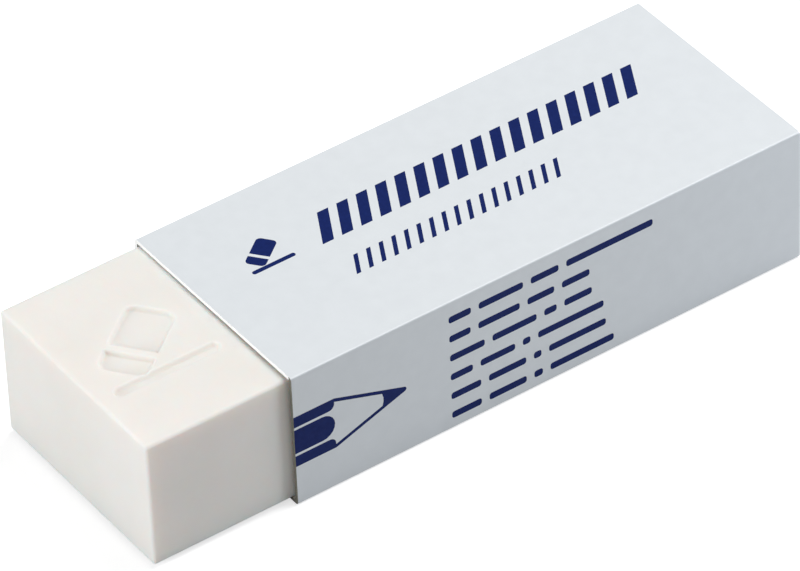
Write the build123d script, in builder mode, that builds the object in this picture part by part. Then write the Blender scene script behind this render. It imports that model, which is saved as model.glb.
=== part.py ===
from build123d import *

import os

# A plastic eraser: a white vinyl block in a sleeve folded and glued from thin card.
#
# X runs across the width, Y along the length and Z up, in millimetres. The block's bare
# working end points along -Y. The origin is under the middle of the whole eraser.

# Vinyl block
block_length = 65.0
block_width = 22.0
block_height = 13.0
block_edge_radius = 0.3

# Sunk pictogram on the block's bare end: an eraser standing on a line it has rubbed
mark_depth = 0.4
mark_draft = 20.0  # slope of its walls, degrees
mark_line_length = 10.4
mark_line_width = 1.1
mark_line_drop = 3.8  # from the middle of the pictogram down to the line
mark_body_length = 8.4
mark_body_width = 4.4
mark_body_radius = 1.0
mark_body_lean = 38.0  # degrees
mark_body_rise = 0.8  # from the middle of the pictogram up to the body
mark_split_offset = -1.4  # where the body's own little sleeve ends, along the body
mark_split_width = 0.8

# Card sleeve
card = 0.36
sleeve_length = 53.0
bare_length = 14.0  # how far the block stands out of the sleeve
fold_radius = 0.38  # outside of each fold
flap_height = 9.0  # glue flap, inside the far wall

# Room between the block and the sleeve
sliding_gap = 0.03  # under the block and beside the glue flap
side_gap = 0.36  # at the wall with no flap
top_gap = 0.22

# Outside of the sleeve, and where the parts stand
sleeve_width = block_width + sliding_gap + side_gap + 3 * card
sleeve_height = block_height + sliding_gap + top_gap + 2 * card
front = -(bare_length + sleeve_length) / 2
mouth = front + bare_length
near = sleeve_width / 2
far = -sleeve_width / 2
block_middle = near - card - side_gap - block_width / 2
block_bottom = card + sliding_gap
block_top = block_bottom + block_height

# The block is one moulding with softly rounded edges.
with BuildPart() as eraser_block:
    with BuildSketch(Plane.XY.offset(block_bottom)):
        with Locations((block_middle, front + block_length / 2)):
            Rectangle(block_width, block_length)
    extrude(amount=block_height)
    fillet(eraser_block.edges(), block_edge_radius)

    # The pictogram's right is +Y and its top points across the block, along -X.
    mark_centre = (block_middle, front + bare_length / 2, block_top)
    with BuildSketch(Plane(mark_centre, x_dir=(0, 1, 0), z_dir=(0, 0, 1))):
        with Locations(Location((0, mark_body_rise), mark_body_lean)):
            RectangleRounded(mark_body_length, mark_body_width, mark_body_radius)
            with Locations((mark_split_offset, 0)):
                Rectangle(mark_split_width, 2 * mark_body_width, mode=Mode.SUBTRACT)
        with Locations((0, -mark_line_drop)):
            SlotOverall(mark_line_length, mark_line_width)
    extrude(amount=-mark_depth, taper=mark_draft, mode=Mode.SUBTRACT)

# The sleeve is one strip of card. It starts at the cut lower edge of the far wall, goes over
# the top, down the near wall and back under the block. The glue flap stands up inside
# the far wall, so that wall is two cards thick up to the flap's edge.
with BuildPart() as card_sleeve:
    with BuildSketch(Plane.XZ.offset(-mouth)):
        with BuildLine():
            FilletPolyline(
                (far, fold_radius),
                (far, sleeve_height),
                (near, sleeve_height),
                (near, 0),
                (0, 0),
                radius=fold_radius,
            )
            offset(amount=card, side=Side.RIGHT)
        make_face()
        with BuildLine():
            FilletPolyline(
                (0, 0),
                (far + card, 0),
                (far + card, flap_height),
                radius=fold_radius,
            )
            offset(amount=card, side=Side.RIGHT)
        make_face()
    extrude(amount=-sleeve_length)

eraser_block.part.label = "eraser_block"
card_sleeve.part.label = "card_sleeve"

os.makedirs("parts", exist_ok=True)
export_step(eraser_block.part, "parts/eraser_block.step")
export_step(card_sleeve.part, "parts/card_sleeve.step")
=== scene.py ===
import math

import bpy
import numpy as np
from mathutils import Matrix, Vector
from mathutils.geometry import delaunay_2d_cdt

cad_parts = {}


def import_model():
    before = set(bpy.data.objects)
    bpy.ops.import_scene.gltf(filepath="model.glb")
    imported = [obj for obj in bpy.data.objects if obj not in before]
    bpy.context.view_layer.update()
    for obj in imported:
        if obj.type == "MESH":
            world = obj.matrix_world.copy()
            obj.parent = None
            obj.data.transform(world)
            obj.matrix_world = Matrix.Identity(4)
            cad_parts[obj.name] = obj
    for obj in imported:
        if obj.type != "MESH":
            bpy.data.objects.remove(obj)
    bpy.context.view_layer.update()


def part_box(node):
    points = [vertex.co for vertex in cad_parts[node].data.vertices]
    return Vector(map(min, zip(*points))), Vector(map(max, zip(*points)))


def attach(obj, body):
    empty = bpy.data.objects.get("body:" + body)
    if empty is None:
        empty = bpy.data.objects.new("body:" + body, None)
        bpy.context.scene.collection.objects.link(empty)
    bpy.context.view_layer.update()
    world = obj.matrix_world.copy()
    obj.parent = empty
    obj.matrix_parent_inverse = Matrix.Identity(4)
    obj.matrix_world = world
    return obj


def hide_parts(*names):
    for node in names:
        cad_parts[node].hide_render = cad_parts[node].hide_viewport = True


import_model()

# A vinyl eraser block in a printed card sleeve. Shapes are worked out in millimetres in the
# row's frame, and become metres when a mesh is made.

MM = 0.001
BLOCK_LOW, BLOCK_HIGH = (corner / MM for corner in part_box("eraser_block"))
SLEEVE_LOW, SLEEVE_HIGH = (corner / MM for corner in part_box("card_sleeve"))
BLOCK_MIDDLE = (BLOCK_LOW.x + BLOCK_HIGH.x) / 2
MOUTH = SLEEVE_LOW.y

# Block
EDGE_RADIUS = 0.3
MARK_DEPTH = 0.4
MARK_WALL = 0.34  # how far its walls slope in
MARK_SOFTNESS = 0.35  # share of that slope which lies outside its outline
MARK_REACH = 6.2  # from its middle, all round

# Spacing of the meshes' points
ARC_STEPS = 5  # along half of a rounded edge
COARSE_STEP = 2.0
FINE_STEP = 0.11  # over the mark
FOLD_STEP = 11.0  # degrees

# Sleeve
CARD = 0.36
FOLD_RADIUS = 0.38  # outside
CREASE = 0.35  # share of each fold over which its outside looks bent, because it is creased
FLAP_HEIGHT = 9.0
LEAN_START = 0.6  # above the flap
LEAN_BEND = 8.0  # radius
WALL_LEAN = 0.2  # how far the far wall leans in above the flap
TOP_FALL = 0.19  # how much lower the far edge of the top is

# Ink, measured from the sleeve's mouth, and from the middle of the top or the underside
PRINT_LEFT = 12.1
PRINT_LEAN = 28.0  # degrees
EMBLEM_CENTRE = (7.4, 3.1)
EMBLEM_SCALE = 0.42
ROW_LEFT = 15.9
ROW_TOP = 11.65  # lower edge of the highest row
ROW_PITCH = 2.09


# Outlines ------------------------------------------------------------------------------


def rounded(left, bottom, right, top, radii, steps=5):
    """A rectangle's outline, anticlockwise from its lower left corner, one radius a corner."""
    corners = ((left, bottom, 1, 1), (right, bottom, -1, 1), (right, top, -1, -1), (left, top, 1, -1))
    points = []
    for turn, ((x, y, into_x, into_y), radius) in enumerate(zip(corners, radii)):
        if not radius:
            points.append((x, y))
            continue
        for step in range(steps + 1):
            angle = math.radians(180 + 90 * turn + 90 * step / steps)
            points.append(
                (
                    x + into_x * radius + radius * math.cos(angle),
                    y + into_y * radius + radius * math.sin(angle),
                )
            )
    return points


def bar(left, bottom, length, height, radius):
    return rounded(left, bottom, left + length, bottom + height, [radius] * 4)


def moved(outline, across, along, lean=0.0, scale=1.0):
    """An outline turned by lean degrees, scaled, and moved."""
    cos, sin = math.cos(math.radians(lean)), math.sin(math.radians(lean))
    return [
        (scale * (x * cos - y * sin) + across, scale * (x * sin + y * cos) + along)
        for x, y in outline
    ]


def pictogram():
    """An eraser standing on a line it has rubbed, as three outlines about its middle."""
    length, width, radius, lean, rise = 8.4, 4.4, 1.0, 38.0, 0.8
    split, split_width = -1.4, 0.8
    line_length, line_width, line_drop = 10.4, 1.1, 3.8
    foot = rounded(-length / 2, -width / 2, split - split_width / 2, width / 2, (radius, 0, 0, radius))
    body = rounded(split + split_width / 2, -width / 2, length / 2, width / 2, (0, radius, radius, 0))
    line = bar(-line_length / 2, -line_drop - line_width / 2, line_length, line_width, line_width / 2)
    return [moved(foot, 0, rise, lean), moved(body, 0, rise, lean), line]


def inside_distance(points, outline):
    """How far each point is inside an outline: negative outside."""
    starts = np.array(outline)
    steps = np.roll(starts, -1, axis=0) - starts
    offset = points[:, None, :] - starts[None]
    share = np.clip((offset * steps).sum(2) / np.maximum((steps**2).sum(1), 1e-12), 0, 1)
    nearest = np.linalg.norm(offset - share[..., None] * steps, axis=2).min(1)
    rises = (offset[..., 1] >= 0) != (offset[..., 1] - steps[:, 1] >= 0)
    slope = steps[:, 0] / np.where(steps[:, 1] == 0, 1e-12, steps[:, 1])
    left_of = offset[..., 0] < offset[..., 1] * slope
    within = (rises & left_of).sum(1) % 2 == 1
    return np.where(within, nearest, -nearest)


# Meshes --------------------------------------------------------------------------------


def make_piece(name, points, faces, slots, materials, normals=None):
    """A mesh object from points in millimetres, with a material slot for each face."""
    mesh = bpy.data.meshes.new(name)
    mesh.from_pydata([tuple(MM * c for c in p) for p in points], [], faces)
    for material in materials:
        mesh.materials.append(material)
    mesh.polygons.foreach_set("material_index", slots)
    mesh.polygons.foreach_set("use_smooth", [True] * len(faces))
    if normals is not None:
        mesh.normals_split_custom_set(normals)
    mesh.update()
    piece = bpy.data.objects.new(name, mesh)
    bpy.context.scene.collection.objects.link(piece)
    return piece


def stations(low, high, fine=None):
    """Grid lines across one side of the block: close together on its rounded edges and over fine."""
    turns = [math.tan(math.radians(45 * k / ARC_STEPS)) for k in range(ARC_STEPS, 0, -1)]
    inner_low, inner_high = low + EDGE_RADIUS, high - EDGE_RADIUS
    support = EDGE_RADIUS / 3
    stops = [inner_low + support, inner_high - support]
    if fine:
        stops[1:1] = fine
    lines = [inner_low - EDGE_RADIUS * t for t in turns] + [inner_low]
    for start, end in zip(stops, stops[1:]):
        step = FINE_STEP if fine and (start, end) == tuple(fine) else COARSE_STEP
        count = max(1, round((end - start) / step))
        lines += [start + (end - start) * k / count for k in range(count)]
    return lines + [stops[-1], inner_high] + [inner_high + EDGE_RADIUS * t for t in turns[::-1]]


def block_piece(material):
    """The rounded block, with the pictogram sunk into the top of its bare end."""
    centre = (BLOCK_MIDDLE, (BLOCK_LOW.y + MOUTH) / 2)
    lines = [
        stations(BLOCK_LOW.x, BLOCK_HIGH.x, [centre[0] - MARK_REACH, centre[0] + MARK_REACH]),
        stations(BLOCK_LOW.y, BLOCK_HIGH.y, [centre[1] - MARK_REACH, centre[1] + MARK_REACH]),
        stations(BLOCK_LOW.z, BLOCK_HIGH.z),
    ]
    counts = [len(line) for line in lines]
    numbers, points, faces = {}, [], []

    def number(*place):
        if place not in numbers:
            numbers[place] = len(points)
            points.append([line[i] for line, i in zip(lines, place)])
        return numbers[place]

    for axis in range(3):
        u, v = (axis + 1) % 3, (axis + 2) % 3
        for end in (0, counts[axis] - 1):
            for i in range(counts[u] - 1):
                for j in range(counts[v] - 1):
                    ring = [(i, j), (i + 1, j), (i + 1, j + 1), (i, j + 1)]
                    if end == 0:
                        ring.reverse()
                    place = [0, 0, 0]
                    face = []
                    for a, b in ring:
                        place[axis], place[u], place[v] = end, a, b
                        face.append(number(*place))
                    faces.append(face)

    points = np.array(points)
    on_top = points[:, 2] == BLOCK_HIGH.z
    core = np.clip(points, np.array(BLOCK_LOW) + EDGE_RADIUS, np.array(BLOCK_HIGH) - EDGE_RADIUS)
    out = points - core
    points = core + EDGE_RADIUS * out / np.linalg.norm(out, axis=1, keepdims=True)

    # The pictogram's right is +Y and its top points across the block, along -X.
    flat = np.stack([points[:, 1] - centre[1], centre[0] - points[:, 0]], axis=1)
    near_mark = on_top & (np.abs(flat).max(1) < MARK_REACH)
    deep = np.max([inside_distance(flat[near_mark], outline) for outline in pictogram()], axis=0)
    slope = np.clip(deep / MARK_WALL + MARK_SOFTNESS, 0, 1)
    points[near_mark, 2] -= MARK_DEPTH * slope**2 * (3 - 2 * slope)
    return make_piece("vinyl_block", points, faces, [0] * len(faces), [material])


class Strip:
    """The sleeve's card as a strip folded along its long edges, seen end on.

    Places on it are given by how far along the strip they are."""

    def __init__(self, corners, radii):
        self.along, self.places, self.turns, self.folds = [], [], [], []
        corners = [Vector(c) for c in corners]
        self.add(0.0, corners[0], self.heading(corners[0], corners[1]))
        for before, corner, after, radius in zip(corners, corners[1:], corners[2:], radii):
            old, new = self.heading(before, corner), self.heading(corner, after)
            turn = (new - old + math.pi) % (2 * math.pi) - math.pi
            setback = radius * math.tan(abs(turn) / 2)
            start = corner - setback * self.direction(old)
            self.add(self.along[-1] + (start - self.places[-1]).length, start, old)
            side = math.copysign(1, turn)
            pivot = start + side * radius * self.direction(old + math.pi / 2)
            begun = self.along[-1]
            steps = max(2, round(abs(turn) / math.radians(FOLD_STEP)))
            for k in range(1, steps + 1):
                angle = old + turn * k / steps
                place = pivot - side * radius * self.direction(angle + math.pi / 2)
                self.add(begun + radius * abs(turn) * k / steps, place, angle)
            self.folds.append((begun, self.along[-1]))
        self.add(self.along[-1] + (corners[-1] - self.places[-1]).length, corners[-1], self.turns[-1])

    def add(self, along, place, turn):
        self.along.append(along)
        self.places.append(place)
        self.turns.append(turn)

    @staticmethod
    def direction(angle):
        return Vector((math.cos(angle), math.sin(angle)))

    @staticmethod
    def heading(start, end):
        return math.atan2(end.y - start.y, end.x - start.x)

    @property
    def length(self):
        return self.along[-1]

    def at(self, along):
        """Each place's x and z on the middle of the card, and the way out of it."""
        x, z, turn = (
            np.interp(along, self.along, values)
            for values in (
                [p.x for p in self.places],
                [p.y for p in self.places],
                np.unwrap(self.turns),
            )
        )
        return x, z, -np.sin(turn), np.cos(turn)

    def creased(self, along):
        """The same places, with each fold's turn drawn in to its middle."""
        drawn = along.copy()
        for start, end in self.folds[1:]:
            middle, half = (start + end) / 2, (end - start) / 2
            there = np.abs(along - middle) < half
            drawn[there] = middle + np.clip((along[there] - middle) / CREASE, -half, half)
        return drawn


def sleeve_strip():
    """From the far wall's lower cut edge, over the top and back under, to the flap's edge."""
    middle = CARD / 2
    far, near = SLEEVE_LOW.x + middle, SLEEVE_HIGH.x - middle
    top, bottom = SLEEVE_HIGH.z - middle, SLEEVE_LOW.z + middle
    fold = FOLD_RADIUS - middle
    corners = [
        (far, SLEEVE_LOW.z + FOLD_RADIUS),
        (far, FLAP_HEIGHT + LEAN_START),
        (far + WALL_LEAN, top - TOP_FALL),
        (near, top),
        (near, bottom),
        (far + CARD, bottom),
        (far + CARD, FLAP_HEIGHT),
    ]
    return Strip(corners, [LEAN_BEND, fold, fold, fold, fold])


def line_of_bars(left, base, height, radius, gap, lengths):
    """Rounded bars side by side, in place of a line of small print."""
    outlines = []
    for length in lengths:
        outlines.append(bar(left, base, length, height, radius))
        left += length + gap
    return outlines


def hatching(left, base, length, height, pitch, stroke):
    """Slanted strokes side by side, cut off level, in place of a large line of print."""
    shift = height * math.tan(math.radians(PRINT_LEAN))
    count = round((length - shift - stroke) / pitch) + 1
    outlines = []
    for k in range(count):
        x = left + pitch * k
        top = base + height
        outlines.append([(x, base), (x + stroke, base), (x + stroke + shift, top), (x + shift, top)])
    return outlines


def ink_on_top():
    """Across is measured from the mouth, up from the middle of the top: no letters."""
    heading = hatching(PRINT_LEFT, 1.05, length=35.7, height=3.8, pitch=2.0, stroke=1.15)
    second = hatching(PRINT_LEFT, -3.95, length=22.1, height=2.3, pitch=1.3, stroke=0.45)
    emblem = [moved(o, *EMBLEM_CENTRE, scale=EMBLEM_SCALE) for o in pictogram()]
    return heading + second + emblem


def ink_on_wall():
    """Across is measured from the mouth, up from the underside."""
    rows = [
        [2.3, 4.6, 2.9, 9.1],
        [2.2, 4.3, 2.8, 2.9],
        [3.6, 4.6, 1.3, 2.9],
        [2.3, 3.6, 0.8, 6.9],
        [3.1, 3.9, 0.8, 6.0],
        [3.1, 3.9, 0.9, 6.7],
    ]
    outlines = []
    for row, lengths in enumerate(rows):
        base = ROW_TOP - ROW_PITCH * row
        outlines += line_of_bars(ROW_LEFT, base, height=0.72, radius=0.25, gap=0.8, lengths=lengths)
    return outlines + pencil()


def pencil():
    """A pencil's sharpened end, cut off at the sleeve's mouth."""
    bottom, top, shoulder, apex = 4.3, 9.7, 4.1, 11.9
    facet, facet_radius, parting, broad_radius = 1.15, 0.6, 0.26, 1.3
    stroke, lead, lead_bulge, tip_radius = 0.36, 8.9, 0.12, 0.25
    middle, half = (bottom + top) / 2, (top - bottom) / 2
    lowest = rounded(0, bottom, shoulder, bottom + facet, (0, 0, facet_radius, 0))
    highest = rounded(0, top - facet, shoulder, top, (0, facet_radius, 0, 0))
    broad_bottom, broad_top = bottom + facet + parting, top - facet - parting
    broad = rounded(0, broad_bottom, shoulder, broad_top, (0, broad_radius, broad_radius, 0))

    # The cone's outline and the lead are one shape, open towards the shoulder.
    fall = half / (apex - shoulder)
    inner = half - stroke * math.hypot(1, fall)
    at_lead = inner - fall * (lead - shoulder)
    widest = math.pi / 2 - math.atan(fall)
    pivot = apex - tip_radius * math.hypot(1, 1 / fall)
    turns = [widest * k / 4 for k in range(-4, 5)]
    nose = [(pivot + tip_radius * math.cos(t), tip_radius * math.sin(t)) for t in turns]
    cone = [(shoulder, -half), *nose, (shoulder, half), (shoulder, inner)]
    bulged = lead + lead_bulge
    cone += [(lead, at_lead), (bulged, at_lead / 3), (bulged, -at_lead / 3), (lead, -at_lead)]
    cone += [(shoulder, -inner)]
    return [lowest, highest, broad, moved(cone, 0, middle)]


def anticlockwise(outline):
    area = sum(x0 * y1 - x1 * y0 for (x0, y0), (x1, y1) in zip(outline, outline[1:] + outline[:1]))
    return outline if area > 0 else outline[::-1]


def sleeve_piece(coated, ink, inside, pale_cut, painted_shade_cut):
    """The card strip with real thickness. Ink is a region of its outer face. Cut edges from the far
    wall over the top are plain white card; from the near fold on they are painted dark grey, as
    painted shade of the gap beside the block.
    """
    strip = sleeve_strip()
    back = SLEEVE_HIGH.y
    top_fold_start, top_fold_end = strip.folds[2]
    middle_of_top = top_fold_start - (SLEEVE_HIGH.x - FOLD_RADIUS - BLOCK_MIDDLE)
    underside = top_fold_end - FOLD_RADIUS + SLEEVE_HIGH.z

    # The flat sheet: across is Y, and up is against the strip's own direction.
    sheet_points, sheet_edges, sheet_faces = [], [], []

    def add_points(points):
        first = len(sheet_points)
        sheet_points.extend(Vector(p) for p in points)
        return list(range(first, len(sheet_points)))

    lengths = set(strip.along)
    for start, end in zip(strip.along, strip.along[1:]):
        count = int((end - start) / COARSE_STEP)
        lengths.update(start + (end - start) * k / (count + 1) for k in range(1, count + 1))
    for along in sorted(lengths):
        sheet_edges.append(add_points([(MOUTH, -along), (back, -along)]))
    rows = round((back - MOUTH) / COARSE_STEP)
    for row in range(rows + 1):
        y = MOUTH + (back - MOUTH) * row / rows
        sheet_edges.append(add_points([(y, 0), (y, -strip.length)]))
    outlines = [moved(o, MOUTH, -middle_of_top) for o in ink_on_top()]
    outlines += [moved(o, MOUTH, -underside) for o in ink_on_wall()]
    for outline in outlines:
        sheet_faces.append(add_points(anticlockwise(outline)))
    flat, _, triangles, _, _, origins = delaunay_2d_cdt(
        sheet_points, sheet_edges, sheet_faces, 0, 1e-5
    )

    flat = np.array([tuple(p) for p in flat])
    x, z, out_x, out_z = strip.at(-flat[:, 1])
    half = CARD / 2
    layers = []
    for side in (1, -1):
        layers.append(np.stack([x + side * half * out_x, flat[:, 0], z + side * half * out_z], axis=1))
    points = np.concatenate(layers)
    count = len(flat)
    faces, slots, normals = [], [], []
    outward = np.stack([out_x, np.zeros(count), out_z], axis=1)
    _, _, lit_x, lit_z = strip.at(strip.creased(-flat[:, 1]))
    lit = np.stack([lit_x, np.zeros(count), lit_z], axis=1)
    edge_uses = {}
    for triangle, origin in zip(triangles, origins):
        outer = list(triangle)
        faces.append(outer)
        slots.append(1 if origin else 0)
        normals += [lit[v] for v in outer]
        inner = [v + count for v in reversed(triangle)]
        faces.append(inner)
        slots.append(2)
        normals += [-outward[v - count] for v in inner]
        for a, b in zip(outer, outer[1:] + outer[:1]):
            edge_uses.setdefault(frozenset((a, b)), []).append((a, b))
    for uses in edge_uses.values():
        if len(uses) == 1:
            a, b = uses[0]
            faces.append([b, a, a + count, b + count])
            # Cut edges before the near fold are white card. From the near fold on, along the near
            # wall, underside and flap, they are painted dark grey: painted shade of the gap beside the
            # block, not the card's own colour.
            slots.append(3 if -flat[a, 1] < top_fold_start else 4)
            corner = points[[b, a, a + count]]
            normal = np.cross(corner[1] - corner[0], corner[2] - corner[0])
            normals += [normal / np.linalg.norm(normal)] * 4
    materials = [coated, ink, inside, pale_cut, painted_shade_cut]
    return make_piece("printed_sleeve", points, faces, slots, materials, normals)


# Materials -----------------------------------------------------------------------------


def material(name, color, roughness):
    made = bpy.data.materials.new(name)
    made.use_nodes = True
    shader = made.node_tree.nodes["Principled BSDF"]
    shader.inputs["Roughness"].default_value = roughness
    shader.inputs["Base Color"].default_value = (*color, 1)
    return made, made.node_tree, shader


def srgb(red, green, blue):
    """A colour given as it looks on a screen, 0 to 255, as linear values."""
    return tuple(
        c / 12.92 if c <= 0.04045 else ((c + 0.055) / 1.055) ** 2.4
        for c in (red / 255, green / 255, blue / 255)
    )


def noise(tree, scale, detail=2.0):
    """Noise in the object's own metres, so that scale is in waves per metre."""
    place = tree.nodes.new("ShaderNodeTexCoord")
    texture = tree.nodes.new("ShaderNodeTexNoise")
    texture.inputs["Scale"].default_value = scale
    texture.inputs["Detail"].default_value = detail
    tree.links.new(place.outputs["Object"], texture.inputs["Vector"])
    return texture.outputs["Fac"]


def blend_colors(tree, shader, factor, first, second):
    """A colour that wanders between two, with a noise's value."""
    ramp = tree.nodes.new("ShaderNodeValToRGB")
    ramp.color_ramp.elements[0].position = 0.3
    ramp.color_ramp.elements[0].color = (*first, 1)
    ramp.color_ramp.elements[1].position = 0.7
    ramp.color_ramp.elements[1].color = (*second, 1)
    tree.links.new(factor, ramp.inputs["Fac"])
    tree.links.new(ramp.outputs["Color"], shader.inputs["Base Color"])


def bump(tree, shader, height, distance, under=None):
    """Bumps of a height in metres, on top of the bumps under them."""
    node = tree.nodes.new("ShaderNodeBump")
    node.inputs["Distance"].default_value = distance
    tree.links.new(height, node.inputs["Height"])
    if under:
        tree.links.new(under, node.inputs["Normal"])
    tree.links.new(node.outputs["Normal"], shader.inputs["Normal"])
    return node.outputs["Normal"]


def spread(tree, value, from_low, from_high, to_low, to_high):
    """A value's range stretched onto another range."""
    stretch = tree.nodes.new("ShaderNodeMapRange")
    stretch.inputs["From Min"].default_value = from_low
    stretch.inputs["From Max"].default_value = from_high
    stretch.inputs["To Min"].default_value = to_low
    stretch.inputs["To Max"].default_value = to_high
    tree.links.new(value, stretch.inputs["Value"])
    return stretch.outputs["Result"]


def vary_roughness(tree, shader, factor, low, high):
    tree.links.new(spread(tree, factor, 0, 1, low, high), shader.inputs["Roughness"])


def vinyl():
    made, tree, shader = material("vinyl", srgb(240, 237, 231), 0.5)
    shader.inputs["Subsurface Weight"].default_value = 0.7
    shader.inputs["Subsurface Radius"].default_value = (1.0, 0.62, 0.5)
    shader.inputs["Subsurface Scale"].default_value = 0.002
    shader.inputs["Specular IOR Level"].default_value = 0.15
    blend_colors(tree, shader, noise(tree, 160, 3), srgb(234, 230, 224), srgb(237, 233, 228))
    vary_roughness(tree, shader, noise(tree, 900), 0.45, 0.6)
    soft = bump(tree, shader, noise(tree, 420, 2), 0.00006)
    bump(tree, shader, noise(tree, 5200, 3), 0.000006, soft)
    return made


def coated_card():
    made, tree, shader = material("coated_card", srgb(222, 227, 230), 0.36)
    shader.inputs["Specular IOR Level"].default_value = 0.6
    blend_colors(tree, shader, noise(tree, 700, 4), srgb(219, 223, 226), srgb(222, 226, 229))
    vary_roughness(tree, shader, noise(tree, 1500, 3), 0.38, 0.48)
    soft = bump(tree, shader, noise(tree, 260, 2), 0.00003)
    bump(tree, shader, noise(tree, 9000, 3), 0.000004, soft)
    return made


def printed_ink():
    made, tree, shader = material("printed_ink", srgb(18, 30, 92), 0.45)
    shader.inputs["Specular IOR Level"].default_value = 0.12
    blend_colors(tree, shader, noise(tree, 2600, 4), srgb(9, 29, 88), srgb(15, 35, 98))
    vary_roughness(tree, shader, noise(tree, 1500, 3), 0.4, 0.5)
    bump(tree, shader, noise(tree, 9000, 3), 0.000004)
    return made


def plain_card(name, scale, first, second):
    """Card without its coating, in fibres of two colours."""
    made, tree, shader = material(name, second, 0.82)
    blend_colors(tree, shader, noise(tree, scale, 4), first, second)
    bump(tree, shader, noise(tree, 3 * scale, 4), 0.00002)
    return made


# Stage ---------------------------------------------------------------------------------


def floor_piece(size, height, lit, seen, glow, near, far):
    """A flat floor that looks white, and glows a little so that its shadows stay pale.

    To matt surfaces it is greyer, with no glow. Between near and far, in metres from the
    object, it fades into the white of the background."""
    mesh = bpy.data.meshes.new("floor")
    half = size / 2
    corners = [(-half, -half), (half, -half), (half, half), (-half, half)]
    mesh.from_pydata([(x, y, height) for x, y in corners], [], [(0, 1, 2, 3)])
    made, tree, shader = material("floor", (1, 1, 1), 1.0)
    shader.inputs["Specular IOR Level"].default_value = 0.0
    shader.inputs["Emission Color"].default_value = (1, 1, 1, 1)
    path = tree.nodes.new("ShaderNodeLightPath")
    for ray, socket, low, high in (
        ("Is Diffuse Ray", "Base Color", seen, lit),
        ("Is Camera Ray", "Emission Strength", 0.0, glow),
    ):
        tree.links.new(spread(tree, path.outputs[ray], 0, 1, low, high), shader.inputs[socket])

    place = tree.nodes.new("ShaderNodeTexCoord")
    distance = tree.nodes.new("ShaderNodeVectorMath")
    distance.operation = "LENGTH"
    tree.links.new(place.outputs["Object"], distance.inputs[0])
    faded = tree.nodes.new("ShaderNodeMath")
    faded.operation = "MULTIPLY"
    tree.links.new(spread(tree, distance.outputs["Value"], near, far, 0, 1), faded.inputs[0])
    tree.links.new(path.outputs["Is Camera Ray"], faded.inputs[1])
    white = tree.nodes.new("ShaderNodeEmission")
    mix = tree.nodes.new("ShaderNodeMixShader")
    tree.links.new(faded.outputs["Value"], mix.inputs["Fac"])
    tree.links.new(shader.outputs["BSDF"], mix.inputs[1])
    tree.links.new(white.outputs["Emission"], mix.inputs[2])
    tree.links.new(mix.outputs["Shader"], tree.nodes["Material Output"].inputs["Surface"])
    mesh.materials.append(made)
    floor = bpy.data.objects.new("floor", mesh)
    bpy.context.scene.collection.objects.link(floor)


def lamp(name, place, aim, size, power, color=(1, 1, 1)):
    data = bpy.data.lights.new(name, "AREA")
    data.color = color
    data.shape = "DISK"
    data.size = size
    data.energy = power
    made = bpy.data.objects.new(name, data)
    made.location = place
    made.rotation_euler = (Vector(place) - Vector(aim)).to_track_quat("Z", "Y").to_euler()
    bpy.context.scene.collection.objects.link(made)


def camera(azimuth, elevation, roll, distance, target, lens):
    """Looks at target from azimuth, where 0 looks along +Y, turned about its own axis by roll."""
    turn, rise, twist = (math.radians(a) for a in (azimuth, elevation, roll))
    back = Vector(
        (math.sin(turn) * math.cos(rise), -math.cos(turn) * math.cos(rise), math.sin(rise))
    )
    right = Vector((math.cos(turn), math.sin(turn), 0))
    up = back.cross(right)
    axes = Matrix(
        (
            math.cos(twist) * right + math.sin(twist) * up,
            math.cos(twist) * up - math.sin(twist) * right,
            back,
        )
    ).transposed()
    data = bpy.data.cameras.new("camera")
    data.lens = lens
    data.sensor_width = 36.0
    data.clip_start = 0.01
    made = bpy.data.objects.new("camera", data)
    made.matrix_world = Matrix.Translation(target + distance * back) @ axes.to_4x4()
    bpy.context.scene.collection.objects.link(made)
    bpy.context.scene.camera = made


def world(strength):
    """White light from all round, and plain white to the camera."""
    made = bpy.data.worlds.new("studio")
    made.use_nodes = True
    tree = made.node_tree
    light = tree.nodes["Background"]
    light.inputs["Color"].default_value = (1, 1, 1, 1)
    light.inputs["Strength"].default_value = strength
    white = tree.nodes.new("ShaderNodeBackground")
    white.inputs["Color"].default_value = (1, 1, 1, 1)
    path = tree.nodes.new("ShaderNodeLightPath")
    mix = tree.nodes.new("ShaderNodeMixShader")
    tree.links.new(path.outputs["Is Camera Ray"], mix.inputs["Fac"])
    tree.links.new(light.outputs["Background"], mix.inputs[1])
    tree.links.new(white.outputs["Background"], mix.inputs[2])
    tree.links.new(mix.outputs["Shader"], tree.nodes["World Output"].inputs["Surface"])
    bpy.context.scene.world = made


# Scene ---------------------------------------------------------------------------------

block = block_piece(vinyl())
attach(block, "eraser")
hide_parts("eraser_block")

sleeve = sleeve_piece(
    coated_card(),
    printed_ink(),
    plain_card("bare_card", 1800, srgb(184, 181, 173), srgb(198, 195, 187)),
    plain_card("pale_cut_card", 4500, srgb(247, 246, 243), srgb(252, 251, 249)),
    # Painted shade: the cut edges from the near fold on are painted dark grey to stand in for the
    # shade of the gap beside the block.
    plain_card("painted_shade_cut_card", 4500, srgb(104, 102, 92), srgb(118, 115, 106)),
)
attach(sleeve, "sleeve")
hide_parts("card_sleeve")

floor_piece(size=4.0, height=0.0, lit=0.5, seen=0.6, glow=0.64, near=0.15, far=0.5)
target = Vector((BLOCK_MIDDLE + 0.4, BLOCK_LOW.y + 32.75, BLOCK_LOW.z + 6.5)) * MM
camera(azimuth=56.26, elevation=39.97, roll=-2.54, distance=0.6077, target=target, lens=321.25)
world(strength=0.26)
lamp("key", (0.0, 0.40, 0.83), (0, 0, 0), size=0.6, power=6.4)
lamp("front", (-0.03, -0.94, 0.25), (0, 0, 0), size=0.45, power=5.9, color=(0.95, 0.98, 1.0))
beside_wall = (0.13, 0.15, 0.05)
near_wall = (0.011, 0.012, 0.007)
lamp("fill", beside_wall, near_wall, size=0.08, power=0.112, color=(0.84, 0.91, 1.0))

bpy.context.scene.view_settings.view_transform = "Standard"
